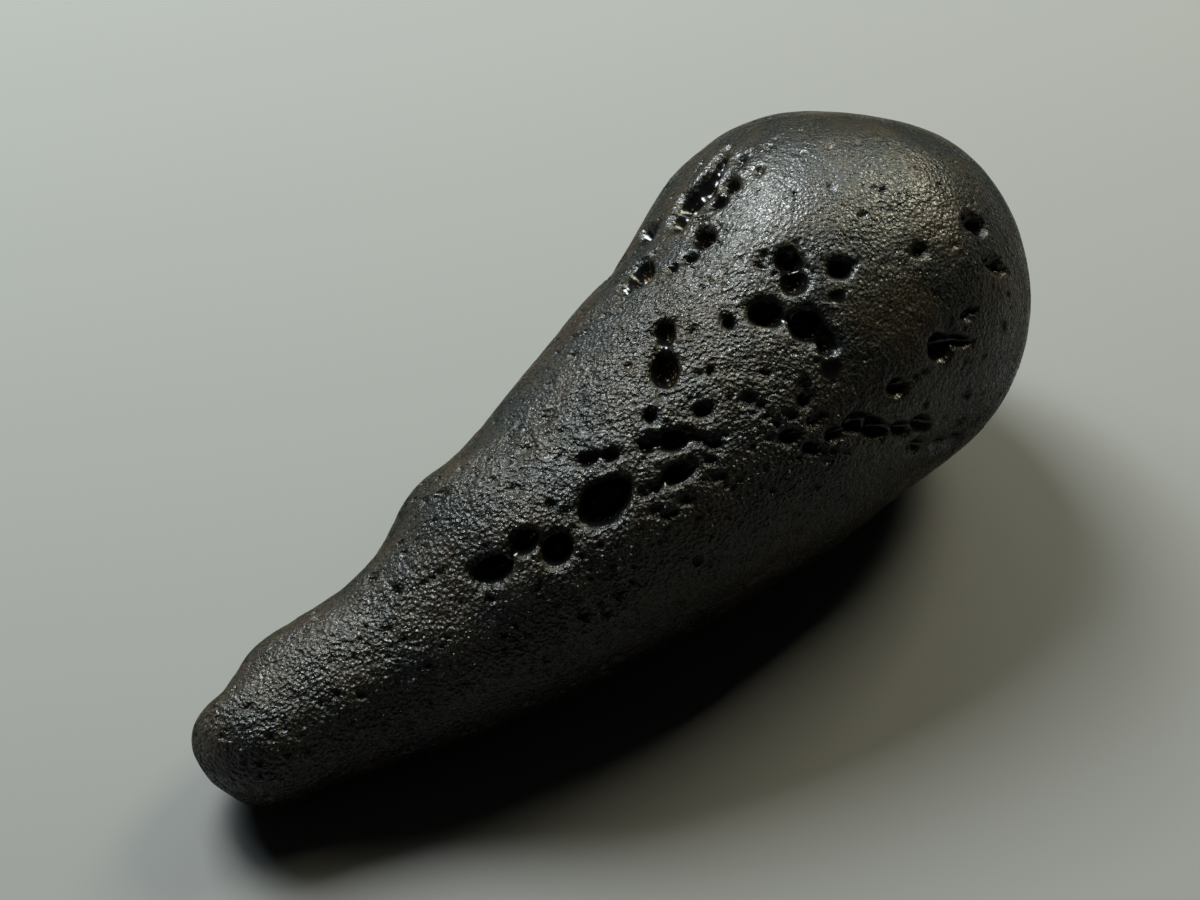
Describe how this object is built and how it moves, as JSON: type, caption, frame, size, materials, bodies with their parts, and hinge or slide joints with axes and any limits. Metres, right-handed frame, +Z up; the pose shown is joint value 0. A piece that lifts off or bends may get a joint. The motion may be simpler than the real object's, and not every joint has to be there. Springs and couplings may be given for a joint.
{
  "type": "tektite",
  "caption": "Teardrop of natural black glass that lies on its side, with a round bulb, a narrow blunt tail and bubble pits all over.",
  "frame": {"origin": "on the ground, under the middle of the tektite's box as it lies at rest", "axes": "+X along the tektite from the tail towards the bulb, +Z up, away from the ground"},
  "size_m": [0.0846, 0.0354, 0.0337],
  "materials": {
    "black_glass": "satin"
  },
  "bodies": {
    "root": {"tektite": "black_glass"}
  },
  "joints": []
}
